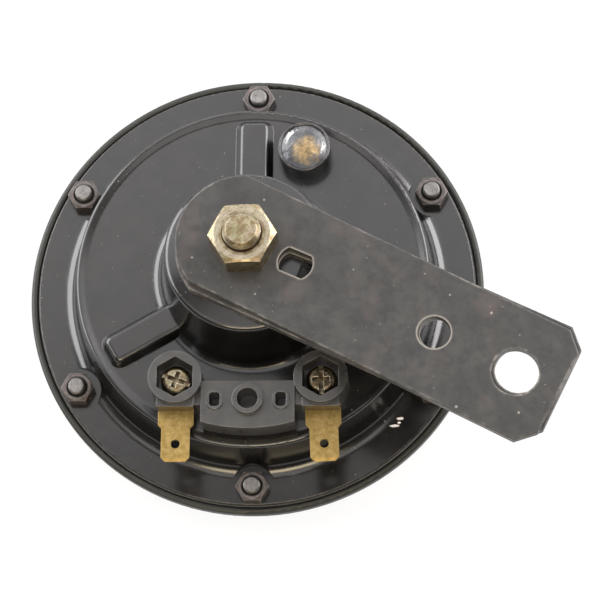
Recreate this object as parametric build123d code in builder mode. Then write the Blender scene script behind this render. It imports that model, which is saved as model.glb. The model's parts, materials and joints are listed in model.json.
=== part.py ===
from build123d import *

import os
from math import asin, cos, degrees, radians, sin, sqrt, tan

# Disc horn of a vehicle, lying on its sounding face with the bracket uppermost.
#
# Millimetres, +Z up. The origin is the centre of the bracket's bolt hole at the bracket's upper face.
# Values named *_level are heights above the plane that the front ring rests on, and plan positions
# are given about the horn's own axis. The terminals point along -Y.

# ---- Clearances, on one side or on the radius ----
thread_gap = 0.05  # a plain shank, which stands for the thread, in its plain bore
bolt_gap = 0.25  # a bolt, or a stud, in a hole that it passes through
slip_gap = 0.1  # pieces that are slipped together
cast_gap = 0.05  # resin round the screw that it seals
rivet_insulation_gap = 0.65  # a live contact arm round its rivet

# ---- Nuts ----
nut_face_share = 0.94  # of the width across flats
nut_face_angle = 30.0
nut_sink = 0.4

# ---- Rim: front ring, gaskets, diaphragm and housing flange, clamped by six screws ----
ring_sheet = 0.9
ring_depth = 5.0  # rest plane to the ring's clamping face
ring_lip_radius = 51.5
ring_lip_rise = 1.9  # lip above the clamping face
ring_hem = 1.6  # lip folded back on itself
ring_hem_round = 0.7
ring_collar_radius = 41.5
ring_edge_turn_in = 2.0  # the rolled edge that the horn rests on
ring_bend = 0.6
gasket_thickness = 0.6
gasket_bore = 42.5
diaphragm_sheet = 0.3
diaphragm_bead_radius = 30.0
diaphragm_bead_width = 3.2
diaphragm_bead_rise = 1.0
housing_sheet = 1.0
flange_edge_gap = 0.3  # inside the stack that the lip holds
rim_screw_circle = 45.9
rim_screw_count = 6
rim_screw_start = 30.0
rim_screw_radius = 1.9
rim_screw_end_rise = 1.4  # blunt end above its nut
rim_screw_end_chamfer = 0.35
rim_head_radius = 3.75
rim_head_height = 2.4
rim_head_chamfer = 0.9
rim_head_slot = 1.0
rim_head_slot_depth = 1.1
rim_nut_flats = 6.5
rim_nut_height = 3.0

clamp_level = ring_depth
diaphragm_level = clamp_level + gasket_thickness
flange_level = diaphragm_level + diaphragm_sheet + gasket_thickness
flange_top_level = flange_level + housing_sheet
stack_radius = ring_lip_radius - ring_hem - slip_gap
flange_radius = stack_radius - flange_edge_gap
rim_hole = rim_screw_radius + bolt_gap

# ---- Housing: one deep-drawn pressing ----
wall_foot_radius = 41.0
wall_foot_fillet = 3.2
crown_radius = 39.6
crown_roll = 0.7
crown_roll_sink = 0.25  # centre of the roll below the deck
crown_inner_slope = 18.0
crown_inner_fillet = 1.6
crown_under_round = 0.5
deck_rise = 11.7  # flange's upper face to the deck
boss_rise = 18.8  # deck to the boss's flat top
boss_foot_radius = 20.5
boss_foot_fillet = 2.5
boss_head_radius = 18.0
boss_head_fillet = 1.2
boss_cone_drop = 0.9  # from the pad's foot out to the boss's edge
boss_pad_radius = 12.7
boss_pad_step = 0.4
boss_pad_draft = 0.2
boss_pad_round = 0.2
rib_azimuths = (90.0, 210.0, 330.0)
rib_rise = 2.2
rib_half_width = 4.2
rib_root = 12.0
rib_reach = 36.9
rib_corner = 2.4
rib_draft = 30.0
rib_crest_round = 1.1
relief_radius = 5.2  # wall pushed back round each rim nut
relief_rise = 9.0

deck_level = flange_top_level + deck_rise
boss_level = deck_level + boss_rise
deck_under_level = deck_level - housing_sheet
boss_under_level = boss_level - housing_sheet

# ---- Bracket: two identical leaves on the stud ----
leaf_sheet = 2.2
leaf_half_width = 13.55
leaf_round_radius = 15.0
leaf_hole_pitch = 65.5  # stud hole to bolt hole
leaf_end_margin = 10.2
leaf_corner_cut = 3.8
leaf_edge_roll = 0.3
leaf_hole_radius = 5.1
leaf_stud_play = 1.1  # the stud's hole over the stud, which lets a leaf sit off centre
leaf_round_hole_at = 46.2
leaf_round_hole_radius = 3.6
leaf_slot_at = (12.4, 0.4)
leaf_slot_turn = 3.0
leaf_slot_length = 7.6
leaf_slot_width = 5.5
outer_leaf_turn = -27.2
outer_leaf_shift = (-0.4, 0.5)  # its stud hole from the stud, along and across the leaf
inner_leaf_turn = -25.4
inner_leaf_shift = (-0.17, -0.32)
stud_radius = 4.0
leaf_stud_hole_radius = stud_radius + leaf_stud_play
stud_root_level = 25.0
stud_above_nut = 2.5
stud_end_chamfer = 0.7
stud_nut_flats = 13.0
stud_nut_height = 6.8
stud_nut_turn = 2.0

bracket_level = boss_level + 2 * leaf_sheet

# ---- Adjuster: riveted bush with a raised rim, screw and clear seal ----
adjuster_circle = 31.0
adjuster_azimuth = 68.2
collar_radius = 5.9
collar_wall = 0.8
collar_rise = 5.3
collar_rim_chamfer = 0.25
collar_floor = 1.2
collar_spigot_radius = 4.0
collar_spigot_drop = 1.0  # below the deck's under face
adjuster_screw_radius = 2.5
adjuster_head_radius = 3.6
adjuster_head_height = 1.6
adjuster_head_seat = 0.4  # head above the collar's floor
adjuster_chamfer = 0.4
adjuster_slot_width = 1.0
adjuster_slot_depth = 0.8
resin_dome = 1.3
pad_radius = 3.0
pad_thickness = 0.8

# ---- Terminals: moulded block, two blades, screws through the deck ----
post_half_pitch = 15.95
post_setback = 25.75
post_radius = 5.9
post_rise = 8.8
socket_flats = 7.9
block_base = 3.0
block_body_half = 10.3
block_body_back = 26.3
block_body_rise = 7.2
block_web_rise = 6.2
block_web_front = 31.5
block_foot_half = 4.1
block_foot_front = 32.1
block_foot_rise = 7.2
block_outer_radius = 37.0
block_edge = 0.4
block_hole_setback = 30.6
block_hole_radius = 2.3
block_hole_collar = 3.4
block_hole_collar_rise = 1.2
block_side_hole_at = 7.25
block_side_hole = (2.3, 3.1)
block_side_hole_round = 0.8
block_side_collar = 0.7
block_side_collar_rise = 0.4
block_hole_depth = 5.1  # below the body's upper face
block_spigot_radius = 3.5
lip_clearance = 0.3
blade_thickness = 0.8
blade_eye_radius = 3.2
blade_neck_width = 6.0
blade_neck_reach = 5.0
blade_shoulder_width = 7.85
blade_shoulder_reach = 9.6
blade_shoulder_cut = 0.8
blade_tab_width = 6.3
blade_reach = 17.85
blade_tip_cut = 0.9
blade_tip_bevel = (0.25, 0.75)
blade_hole_reach = 13.9
blade_hole_radius = 1.0
blade_turns = {"left": 0.0, "right": 3.0}
terminal_screw_radius = 2.0
terminal_head_radius = 3.35
terminal_head_height = 2.6
terminal_head_round = 1.4
terminal_slot_turns = {"left": -20.0, "right": 92.0}
terminal_slot = 0.95
terminal_slot_depth = 0.9
terminal_cross_span = 3.8
terminal_cross_depth = 1.7
terminal_nut_flats = 7.0
terminal_nut_height = 3.2
terminal_screw_end = 0.6  # beyond its nut
gasket_plate_thickness = 0.8
gasket_plate_inner = 25.5
gasket_plate_outer = 36.0
gasket_plate_half_length = 22.5
gasket_plate_back = 20.0
tag_thickness = 0.6
tag_radius = 4.2
tag_leg_at = 10.7
tag_leg_width = 4.0
tag_leg_setback = 31.0
tag_leg_drop = 3.2
resistor_radius = 2.0
resistor_half_length = 7.0
resistor_end_chamfer = 0.5
resistor_lead_radius = 0.4
resistor_lead_overhang = 1.8

# ---- Magnet ----
core_radius = 7.0
core_foot_level = 21.2
bobbin_wall = 0.8
bobbin_flange_radius = 16.4
bobbin_hub_radius = 9.5
bobbin_head_drop = 2.5  # boss's top to the bobbin's upper flange
bobbin_flange = 1.2
winding_radius = 15.8
plate_radius = 24.5
plate_thickness = 2.0
plate_bore = 7.25

# ---- Contact breaker, hung under the field plate on the adjuster's azimuth ----
contact_rivet_circles = (17.5, 22.0)
contact_rivet_radius = 1.25
contact_rivet_head = (2.1, 0.8)
contact_insulator_ends = (15.3, 24.2)
contact_insulator_width = 8.0
upper_insulator = 0.8
middle_insulator = 1.0
lower_insulator = 0.8
moving_arm_sheet = 0.4
moving_arm_ends = (7.4, 24.0)
fixed_arm_sheet = 0.6
fixed_arm_ends = (10.8, 34.2)
contact_arm_width = 6.4
contact_point_circle = 12.5
contact_point_radius = 1.5
contact_strip_round = 1.0

# ---- Armature, diaphragm clamp and tone disc ----
armature_radius = 6.6
armature_air_gap = 0.9
armature_flange_radius = 9.0
armature_flange = 1.5
armature_lift_gap = 0.4  # flange below the moving arm at rest
shaft_radius = 3.0
shaft_in_armature = 7.0
shaft_foot_level = 0.7
shaft_chamfer = 0.5
clamp_washer_radius = 9.0
clamp_washer = 1.2
tone_disc_sheet = 1.0
tone_disc_hub_radius = 14.0
tone_disc_radius = 34.0
tone_disc_dish = 1.2
tone_disc_dish_width = 4.8
tone_disc_edge = 0.25
disc_nut_flats = 10.0
disc_nut_height = 2.4

# ---- Frame: the horn's axis and rest plane, placed from the outer leaf's bolt hole ----


def turned_vector(length, angle):
    """Plan vector of a length at an angle from +X."""
    return Vector(length * cos(radians(angle)), length * sin(radians(angle)))


def leaf_stud_hole(angle, shift):
    """Centre of a leaf's stud hole about the horn's axis."""
    along, across = shift
    return turned_vector(along, angle) + turned_vector(across, angle + 90)


bolt_hole = leaf_stud_hole(outer_leaf_turn, outer_leaf_shift)
bolt_hole += turned_vector(leaf_hole_pitch, outer_leaf_turn)
horn = Plane(origin=(-bolt_hole.X, -bolt_hole.Y, -bracket_level))


# ---- Building helpers ----


def plane_at(level, spot=Vector(), turn=0.0):
    """Level plane over a spot given about the horn's axis, turned about the vertical."""
    origin = horn.origin + spot + Vector(0, 0, level)
    return Plane(origin=origin, x_dir=turned_vector(1, turn), z_dir=(0, 0, 1))


def section_plane(foot):
    """Upright plane through a foot on the rest plane, for outlines of (radius, level) points."""
    return Plane(origin=foot, x_dir=(1, 0, 0), z_dir=(0, -1, 0))


def spin(outline, radii=0, spot=Vector(), mode=Mode.ADD):
    """Revolve a closed outline of (radius, level) corners about the vertical through a spot."""
    foot = horn.origin + spot
    with BuildSketch(section_plane(foot)) as profile:
        with BuildLine():
            if radii == 0:
                Polyline(*outline, close=True)
            else:
                FilletPolyline(*outline, radius=radii, close=True)
        make_face()
    revolve(profile.sketch, axis=Axis(foot, (0, 0, 1)), mode=mode)


def spin_sheet(centre_line, sheet):
    """Revolve sheet metal that follows a line of (radius, level) points about the horn's axis."""
    with BuildSketch(section_plane(horn.origin)) as profile:
        with BuildLine():
            Polyline(*centre_line)
        trace(line_width=sheet)
    revolve(profile.sketch, axis=Axis(horn.origin, (0, 0, 1)))


def rounds_at(part, *corners):
    """Circular edges of a part that pass through (radius, level) corners."""
    found = part.edges().filter_by(GeomType.CIRCLE)
    wanted = [Vector(radius, level + horn.origin.Z) for radius, level in corners]
    return found.filter_by(
        lambda edge: any((Vector(edge.radius, edge.arc_center.Z) - spot).length < 0.01 for spot in wanted)
    )


def disc(level, height, outer, bore=0.0, spot=Vector(), mode=Mode.ADD):
    """Flat round piece, with a bore if it has one."""
    with BuildSketch(plane_at(level, spot)) as face:
        Circle(outer)
        if bore:
            Circle(bore, mode=Mode.SUBTRACT)
    extrude(face.sketch, amount=height, mode=mode)


def rim_holes(level, height, radius):
    """Cut the six holes of the rim screws."""
    with BuildSketch(plane_at(level)) as holes:
        with PolarLocations(rim_screw_circle, rim_screw_count, start_angle=rim_screw_start):
            Circle(radius)
    extrude(holes.sketch, amount=height, mode=Mode.SUBTRACT)


def rim_spots():
    """Plan positions of the six rim screws."""
    step = 360 / rim_screw_count
    return [turned_vector(rim_screw_circle, rim_screw_start + step * i) for i in range(rim_screw_count)]


def hexagon_nut(level, flats, height, bore, spot=Vector(), corner_at=0.0):
    """Hexagon nut with its upper corners turned back and its bore countersunk."""
    corner = flats / sqrt(3)
    face = nut_face_share * flats / 2
    cut = (corner - face) * tan(radians(nut_face_angle))
    with BuildPart() as nut:
        spin(
            [
                (bore, level),
                (corner, level),
                (corner, level + height - cut),
                (face, level + height),
                (bore + nut_sink, level + height),
                (bore, level + height - nut_sink),
            ],
            spot=spot,
        )
        with BuildSketch(plane_at(level, spot, corner_at)):
            RegularPolygon(flats / 2, 6, major_radius=False)
        extrude(amount=height, mode=Mode.INTERSECT)
    return nut.part


def save(part, name):
    """Label a finished piece and write it."""
    part.label = name
    export_step(part, f"parts/{name}.step")


os.makedirs("parts", exist_ok=True)

# ---- Rim pieces ----

ring_mid_level = clamp_level - ring_sheet / 2
ring_collar_mid = ring_collar_radius - ring_sheet / 2
ring_lip_level = clamp_level + ring_lip_rise

with BuildPart() as front_ring:
    spin_sheet(
        [
            (ring_collar_mid - ring_edge_turn_in, ring_sheet / 2),
            (ring_collar_mid, ring_sheet / 2),
            (ring_collar_mid, ring_mid_level),
            (ring_lip_radius - ring_hem / 2, ring_mid_level),
        ],
        sheet=ring_sheet,
    )
    spin(
        [
            (ring_lip_radius - ring_hem, clamp_level - ring_sheet),
            (ring_lip_radius, clamp_level - ring_sheet),
            (ring_lip_radius, ring_lip_level),
            (ring_lip_radius - ring_hem, ring_lip_level),
        ],
        radii=[0, ring_hem_round, ring_hem_round, ring_hem_round],
    )
    outer_bends = rounds_at(
        front_ring,
        (ring_collar_radius, 0),
        (ring_collar_radius - ring_sheet, clamp_level),
    )
    chamfer(outer_bends, ring_bend)
    rim_holes(clamp_level - ring_sheet, ring_sheet, rim_hole)
save(front_ring.part, "front_ring")

for gasket_name, gasket_level in (
    ("front_gasket", clamp_level),
    ("rear_gasket", diaphragm_level + diaphragm_sheet),
):
    with BuildPart() as gasket:
        disc(gasket_level, gasket_thickness, stack_radius, gasket_bore)
        rim_holes(gasket_level, gasket_thickness, rim_hole)
    save(gasket.part, gasket_name)

diaphragm_mid = diaphragm_level + diaphragm_sheet / 2
with BuildPart() as diaphragm:
    spin_sheet(
        [
            (shaft_radius + slip_gap, diaphragm_mid),
            (diaphragm_bead_radius - diaphragm_bead_width / 2, diaphragm_mid),
            (diaphragm_bead_radius - diaphragm_bead_width / 6, diaphragm_mid + diaphragm_bead_rise),
            (diaphragm_bead_radius + diaphragm_bead_width / 6, diaphragm_mid + diaphragm_bead_rise),
            (diaphragm_bead_radius + diaphragm_bead_width / 2, diaphragm_mid),
            (stack_radius, diaphragm_mid),
        ],
        sheet=diaphragm_sheet,
    )
    rim_holes(diaphragm_level, diaphragm_sheet, rim_hole)
save(diaphragm.part, "diaphragm")

rim_head_level = clamp_level - ring_sheet - rim_head_height
rim_screw_end_level = flange_top_level + rim_nut_height + rim_screw_end_rise
with BuildPart() as rim_screws:
    for rim_spot in rim_spots():
        spin(
            [
                (0, rim_head_level),
                (rim_head_radius - rim_head_chamfer, rim_head_level),
                (rim_head_radius, rim_head_level + rim_head_chamfer),
                (rim_head_radius, rim_head_level + rim_head_height),
                (rim_screw_radius, rim_head_level + rim_head_height),
                (rim_screw_radius, rim_screw_end_level - rim_screw_end_chamfer),
                (rim_screw_radius - rim_screw_end_chamfer, rim_screw_end_level),
                (0, rim_screw_end_level),
            ],
            spot=rim_spot,
        )
    with BuildSketch(plane_at(rim_head_level)):
        with PolarLocations(rim_screw_circle, rim_screw_count, start_angle=rim_screw_start):
            Rectangle(2 * rim_head_radius, rim_head_slot)
    extrude(amount=rim_head_slot_depth, mode=Mode.SUBTRACT)
save(rim_screws.part, "rim_screws")

with BuildPart() as rim_nuts:
    for index, rim_spot in enumerate(rim_spots()):
        corner_turn = rim_screw_start + 30 + index * 360 / rim_screw_count
        add(
            hexagon_nut(
                flange_top_level,
                rim_nut_flats,
                rim_nut_height,
                rim_screw_radius + thread_gap,
                spot=rim_spot,
                corner_at=corner_turn,
            )
        )
save(rim_nuts.part, "rim_nuts")

# ---- Housing shell ----


def terminal_spot(side):
    """Plan position of a terminal's screw."""
    return Vector(-post_half_pitch if side == "left" else post_half_pitch, -post_setback)


adjuster_spot = turned_vector(adjuster_circle, adjuster_azimuth)


def crown_lip(crown, deck, inset):
    """Roll of the crown's edge, up from the wall, and its foot on the deck if it has one."""
    roll = crown_under_round if inset else crown_roll
    roll_level = deck - roll if inset else deck - crown_roll_sink
    turn = 90 if inset else 90 + crown_inner_slope
    lip = CenterArc((crown - roll, roll_level), roll, 0, turn)
    if inset:
        return lip, []
    fall = ((lip @ 1).Y - deck) / tan(radians(crown_inner_slope))
    return lip, [((lip @ 1).X - fall, deck)]


def pressed_form(inset):
    """Solid inside the pressing's outer face, or inside its inner face when inset by the sheet."""
    flange = flange_top_level - inset
    deck = deck_level - inset
    boss = boss_level - inset
    pad = boss_pad_radius - inset / 2
    pad_foot = boss - boss_pad_step
    pad_round = 0 if inset else boss_pad_round
    with BuildPart() as form:
        with BuildSketch(section_plane(horn.origin)):
            with BuildLine():
                lip, lip_foot = crown_lip(crown_radius - inset, deck, inset)
                wall = FilletPolyline(
                    (0, flange_level - inset),
                    (flange_radius, flange_level - inset),
                    (flange_radius, flange),
                    (wall_foot_radius - inset, flange),
                    lip @ 0,
                    radius=[0, 0, wall_foot_fillet + inset],
                )
                boss_side = FilletPolyline(
                    lip @ 1,
                    *lip_foot,
                    (boss_foot_radius - inset, deck),
                    (boss_head_radius - inset, pad_foot - boss_cone_drop),
                    (pad + boss_pad_draft, pad_foot),
                    (pad, boss),
                    (0, boss),
                    radius=[
                        *[crown_inner_fillet for foot in lip_foot],
                        boss_foot_fillet + inset,
                        boss_head_fillet - inset,
                        pad_round,
                        pad_round,
                    ],
                )
                Line(boss_side @ 1, wall @ 0)
            make_face()
        revolve(axis=Axis(horn.origin, (0, 0, 1)))
        with BuildSketch(plane_at(flange)):
            with PolarLocations(rim_screw_circle, rim_screw_count, start_angle=rim_screw_start):
                Circle(relief_radius + inset)
        extrude(amount=relief_rise, mode=Mode.SUBTRACT)
        for azimuth in rib_azimuths:
            add(drafted_rib(deck, inset, azimuth))
    return form.part


def drafted_rib(deck, inset, azimuth):
    """One rib with drafted sides and a rounded crest, running out to a blunt end short of the crown."""
    corner_shift = inset * tan(radians((90 - rib_draft) / 2))
    half = rib_half_width - corner_shift
    end = rib_reach - corner_shift
    with BuildPart() as rib:
        with BuildSketch(plane_at(deck, turn=azimuth)):
            with Locations(((rib_root + end) / 2, 0)):
                RectangleRounded(end - rib_root, 2 * half, rib_corner - corner_shift)
        extrude(amount=rib_rise, taper=rib_draft)
        if not inset:
            fillet(rib.faces().sort_by(Axis.Z)[-1].edges(), rib_crest_round)
    return rib.part


with BuildPart() as housing_shell:
    add(pressed_form(0))
    add(pressed_form(housing_sheet), mode=Mode.SUBTRACT)
    rim_holes(flange_level, housing_sheet, rim_hole)
    disc(boss_under_level, housing_sheet, stud_radius + bolt_gap, mode=Mode.SUBTRACT)
    disc(
        deck_under_level,
        housing_sheet,
        collar_spigot_radius + slip_gap,
        spot=adjuster_spot,
        mode=Mode.SUBTRACT,
    )
    for side in ("left", "right"):
        disc(
            deck_under_level,
            housing_sheet,
            block_spigot_radius + slip_gap,
            spot=terminal_spot(side),
            mode=Mode.SUBTRACT,
        )
save(housing_shell.part, "housing_shell")

# ---- Bracket and its stud ----


def bracket_leaf(level, angle, shift):
    """One pressed leaf: round end over the stud, cut corners at the bolt end, four openings."""
    stud_hole = leaf_stud_hole(angle, shift)
    leaf_plane = plane_at(level, stud_hole, angle)
    far = leaf_hole_pitch + leaf_end_margin
    near = -sqrt(leaf_round_radius**2 - leaf_half_width**2)
    with BuildPart() as leaf:
        with BuildSketch(leaf_plane):
            with BuildLine():
                sides = Polyline(
                    (near, leaf_half_width),
                    (far - leaf_corner_cut, leaf_half_width),
                    (far, leaf_half_width - leaf_corner_cut),
                    (far, leaf_corner_cut - leaf_half_width),
                    (far - leaf_corner_cut, -leaf_half_width),
                    (near, -leaf_half_width),
                )
                ThreePointArc(sides @ 1, (-leaf_round_radius, 0), sides @ 0)
            make_face()
            Circle(leaf_stud_hole_radius, mode=Mode.SUBTRACT)
            with Locations((leaf_hole_pitch, 0)):
                Circle(leaf_hole_radius, mode=Mode.SUBTRACT)
            with Locations((leaf_round_hole_at, 0)):
                Circle(leaf_round_hole_radius, mode=Mode.SUBTRACT)
        extrude(amount=leaf_sheet)
        outline_edges = leaf.faces().sort_by(Axis.Z)[-1].outer_wire().edges()
        fillet(outline_edges, leaf_edge_roll)
        with BuildSketch(leaf_plane):
            with Locations(Location((*leaf_slot_at, 0), (0, 0, leaf_slot_turn))):
                Circle(leaf_slot_length / 2)
                Rectangle(leaf_slot_length, leaf_slot_width, mode=Mode.INTERSECT)
        extrude(amount=leaf_sheet, mode=Mode.SUBTRACT)
    return leaf.part


save(bracket_leaf(boss_level, inner_leaf_turn, inner_leaf_shift), "bracket_leaf_inner")
save(bracket_leaf(boss_level + leaf_sheet, outer_leaf_turn, outer_leaf_shift), "bracket_leaf_outer")

stud_nut_top = bracket_level + stud_nut_height
stud_end_level = stud_nut_top + stud_above_nut
with BuildPart() as mounting_stud:
    spin(
        [
            (0, stud_root_level),
            (stud_radius - stud_end_chamfer, stud_root_level),
            (stud_radius, stud_root_level + stud_end_chamfer),
            (stud_radius, stud_end_level - stud_end_chamfer),
            (stud_radius - stud_end_chamfer, stud_end_level),
            (0, stud_end_level),
        ]
    )
save(mounting_stud.part, "mounting_stud")

save(
    hexagon_nut(
        bracket_level,
        stud_nut_flats,
        stud_nut_height,
        stud_radius + thread_gap,
        corner_at=stud_nut_turn,
    ),
    "stud_nut",
)

# ---- Adjuster ----

collar_top = deck_level + collar_rise
collar_floor_level = deck_level + collar_floor
spigot_level = deck_under_level - collar_spigot_drop
adjuster_bore = adjuster_screw_radius + thread_gap
collar_bore = collar_radius - collar_wall
with BuildPart() as adjuster_collar:
    spin(
        [
            (adjuster_bore, spigot_level),
            (collar_spigot_radius, spigot_level),
            (collar_spigot_radius, deck_level),
            (collar_radius, deck_level),
            (collar_radius, collar_top - collar_rim_chamfer),
            (collar_radius - collar_rim_chamfer, collar_top),
            (collar_bore + collar_rim_chamfer, collar_top),
            (collar_bore, collar_top - collar_rim_chamfer),
            (collar_bore, collar_floor_level),
            (adjuster_bore, collar_floor_level),
        ],
        spot=adjuster_spot,
    )
save(adjuster_collar.part, "adjuster_collar")

upper_insulator_level = deck_under_level - plate_thickness - upper_insulator
moving_arm_level = upper_insulator_level - moving_arm_sheet
middle_insulator_level = moving_arm_level - middle_insulator
fixed_arm_level = middle_insulator_level - fixed_arm_sheet
lower_insulator_level = fixed_arm_level - lower_insulator
fixed_arm_top = fixed_arm_level + fixed_arm_sheet

pad_top = fixed_arm_top + pad_thickness
adjuster_head_level = collar_floor_level + adjuster_head_seat
adjuster_head_top = adjuster_head_level + adjuster_head_height
with BuildPart() as adjuster_screw:
    spin(
        [
            (0, pad_top),
            (adjuster_screw_radius - adjuster_chamfer, pad_top),
            (adjuster_screw_radius, pad_top + adjuster_chamfer),
            (adjuster_screw_radius, adjuster_head_level),
            (adjuster_head_radius, adjuster_head_level),
            (adjuster_head_radius, adjuster_head_top - adjuster_chamfer),
            (adjuster_head_radius - adjuster_chamfer, adjuster_head_top),
            (0, adjuster_head_top),
        ],
        spot=adjuster_spot,
    )
    with BuildSketch(plane_at(adjuster_head_top, adjuster_spot)):
        Rectangle(2 * adjuster_head_radius, adjuster_slot_width)
    extrude(amount=-adjuster_slot_depth, mode=Mode.SUBTRACT)
save(adjuster_screw.part, "adjuster_screw")

resin_edge_level = collar_top - collar_rim_chamfer
resin_radius = (collar_bore**2 + resin_dome**2) / (2 * resin_dome)
with BuildPart() as sealing_resin:
    resin_foot = horn.origin + adjuster_spot
    with BuildSketch(section_plane(resin_foot)):
        with BuildLine():
            dome = RadiusArc(
                (collar_bore, resin_edge_level), (0, resin_edge_level + resin_dome), -resin_radius
            )
            Polyline(
                dome @ 1,
                (0, collar_floor_level),
                (collar_bore, collar_floor_level),
                dome @ 0,
            )
        make_face()
    revolve(axis=Axis(resin_foot, (0, 0, 1)))
    disc(
        collar_floor_level,
        adjuster_head_level - cast_gap - collar_floor_level,
        adjuster_screw_radius + cast_gap,
        spot=adjuster_spot,
        mode=Mode.SUBTRACT,
    )
    disc(
        adjuster_head_level - cast_gap,
        adjuster_head_height + 2 * cast_gap,
        adjuster_head_radius + cast_gap,
        spot=adjuster_spot,
        mode=Mode.SUBTRACT,
    )
save(sealing_resin.part, "sealing_resin")

with BuildPart() as adjuster_pad:
    disc(fixed_arm_top, pad_thickness, pad_radius, spot=adjuster_spot)
save(adjuster_pad.part, "adjuster_pad")

# ---- Terminals ----

blade_level = deck_level + block_base
blade_top = blade_level + blade_thickness
gasket_plate_level = deck_under_level - gasket_plate_thickness
tag_level = gasket_plate_level - tag_thickness
terminal_nut_level = tag_level - terminal_nut_height
screw_passage = terminal_screw_radius + bolt_gap


def blade_outline(side, level, grow=0.0):
    """Sketch of a blade terminal, from its eye round the screw to its tab's tip."""
    neck = blade_neck_width / 2 + grow
    shoulder = blade_shoulder_width / 2 + grow
    tab = blade_tab_width / 2 + grow
    neck_reach = blade_neck_reach - grow
    reach = blade_shoulder_reach + grow
    half_outline = [
        (neck, 0),
        (neck, -neck_reach),
        (shoulder, -neck_reach),
        (shoulder, -reach),
        (tab, -reach - blade_shoulder_cut),
        (tab, blade_tip_cut - blade_reach),
        (tab - blade_tip_cut, -blade_reach),
    ]
    with BuildSketch(plane_at(level, terminal_spot(side), blade_turns[side])) as outline:
        with BuildLine():
            Polyline(*half_outline, *[(-x, y) for x, y in reversed(half_outline)], close=True)
        make_face()
        Circle(blade_eye_radius + grow)
    return outline.sketch


with BuildPart() as terminal_block:
    with BuildSketch(plane_at(deck_level)):
        with Locations((-post_half_pitch, -post_setback), (post_half_pitch, -post_setback)):
            Circle(post_radius)
    extrude(amount=post_rise)
    with BuildSketch(plane_at(deck_level)):
        for foot_x in (-post_half_pitch, post_half_pitch):
            with Locations((foot_x, -post_setback)):
                Rectangle(
                    2 * block_foot_half,
                    block_foot_front - post_setback,
                    align=(Align.CENTER, Align.MAX),
                )
    extrude(amount=block_foot_rise)
    with BuildSketch(plane_at(deck_level)):
        with Locations((0, -block_body_back)):
            Rectangle(
                2 * post_half_pitch,
                block_web_front - block_body_back,
                align=(Align.CENTER, Align.MAX),
            )
    extrude(amount=block_web_rise)
    with BuildSketch(plane_at(deck_level)):
        Circle(block_outer_radius)
        with Locations((0, -block_body_back)):
            Rectangle(
                2 * block_body_half,
                block_outer_radius,
                align=(Align.CENTER, Align.MAX),
                mode=Mode.INTERSECT,
            )
    extrude(amount=block_body_rise)
    body_top_level = deck_level + block_body_rise
    side_holes = [(x, -block_hole_setback) for x in (-block_side_hole_at, block_side_hole_at)]
    disc(
        body_top_level,
        block_hole_collar_rise,
        block_hole_collar,
        spot=Vector(0, -block_hole_setback),
    )
    with BuildSketch(plane_at(body_top_level)):
        with Locations(*side_holes):
            side_width, side_length = (size + 2 * block_side_collar for size in block_side_hole)
            SlotOverall(side_length, side_width, rotation=90)
    extrude(amount=block_side_collar_rise)
    with BuildSketch(plane_at(body_top_level - block_hole_depth)):
        with Locations((0, -block_hole_setback)):
            Circle(block_hole_radius)
        with Locations(*side_holes):
            RectangleRounded(*block_side_hole, block_side_hole_round)
    extrude(amount=block_hole_depth + block_hole_collar_rise, mode=Mode.SUBTRACT)
    spin(
        [
            (block_outer_radius - lip_clearance, deck_level),
            (crown_radius, deck_level),
            (crown_radius, deck_level + crown_roll - crown_roll_sink + lip_clearance),
            (block_outer_radius - lip_clearance, deck_level + crown_roll - crown_roll_sink + lip_clearance),
        ],
        mode=Mode.SUBTRACT,
    )
    for side in ("left", "right"):
        spot = terminal_spot(side)
        disc(tag_level + tag_thickness + slip_gap, blade_level - tag_level, block_spigot_radius, spot=spot)
        with BuildSketch(plane_at(blade_top, spot)):
            RegularPolygon(socket_flats / 2, 6, major_radius=False, rotation=90)
        extrude(amount=post_rise, mode=Mode.SUBTRACT)
        extrude(
            blade_outline(side, blade_level, grow=slip_gap),
            amount=blade_thickness,
            mode=Mode.SUBTRACT,
        )
        disc(tag_level, blade_top - tag_level, screw_passage, spot=spot, mode=Mode.SUBTRACT)
save(terminal_block.part, "terminal_block")

for side in ("left", "right"):
    spot = terminal_spot(side)
    with BuildPart() as blade:
        extrude(blade_outline(side, blade_level), amount=blade_thickness)
        tip = blade.edges().filter_by(Axis.Z, reverse=True)
        tip = tip.filter_by(lambda edge: edge.length > blade_tab_width / 2).sort_by(Axis.Y)[:2]
        chamfer(tip, *blade_tip_bevel, reference=blade.faces().sort_by(Axis.Y)[0])
        with BuildSketch(plane_at(blade_level, spot, blade_turns[side])):
            Circle(screw_passage)
            with Locations((0, -blade_hole_reach)):
                Circle(blade_hole_radius)
        extrude(amount=blade_thickness, mode=Mode.SUBTRACT)
    save(blade.part, f"blade_terminal_{side}")

head_top = blade_top + terminal_head_height
terminal_screw_foot = terminal_nut_level - terminal_screw_end
with BuildPart() as terminal_screws:
    for side in ("left", "right"):
        spot = terminal_spot(side)
        spin(
            [
                (0, terminal_screw_foot),
                (terminal_screw_radius, terminal_screw_foot),
                (terminal_screw_radius, blade_top),
                (terminal_head_radius, blade_top),
                (terminal_head_radius, head_top),
                (0, head_top),
            ],
            radii=[0, 0, 0, 0, terminal_head_round, 0],
            spot=spot,
        )
        turn = terminal_slot_turns[side]
        with BuildSketch(plane_at(head_top, spot, turn)):
            Rectangle(2 * terminal_head_radius, terminal_slot)
        extrude(amount=-terminal_slot_depth, mode=Mode.SUBTRACT)
        with BuildSketch(plane_at(head_top, spot, turn)):
            Rectangle(terminal_cross_span, terminal_slot)
            Rectangle(terminal_slot, terminal_cross_span)
        extrude(amount=-terminal_cross_depth, mode=Mode.SUBTRACT)
save(terminal_screws.part, "terminal_screws")

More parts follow.
